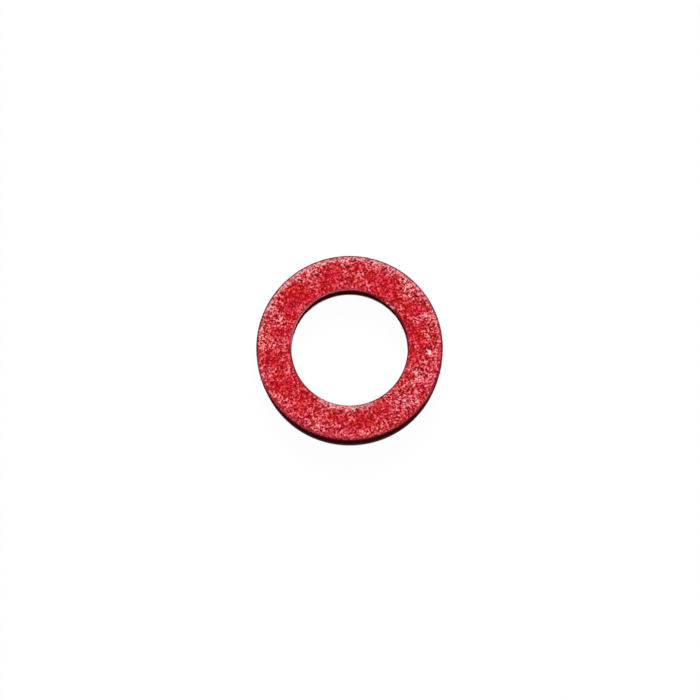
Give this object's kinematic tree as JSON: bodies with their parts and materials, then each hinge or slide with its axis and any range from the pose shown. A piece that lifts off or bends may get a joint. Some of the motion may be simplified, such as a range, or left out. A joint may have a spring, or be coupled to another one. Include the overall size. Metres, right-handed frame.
{
  "type": "gasket",
  "caption": "Flat round sealing washer of red vulcanised fibre, with rolled upper rims and a plain bore for a screw or drain plug.",
  "frame": {"origin": "centre of the bore in the lower face, which lies on the housing", "axes": "+Z along the bore, from the housing to the screw's head; the ring is round, so +X and +Y are free"},
  "size_m": [0.013, 0.013, 0.002],
  "materials": {
    "vulcanised_fibre": "matte"
  },
  "bodies": {
    "root": {"gasket": "vulcanised_fibre"}
  },
  "joints": []
}
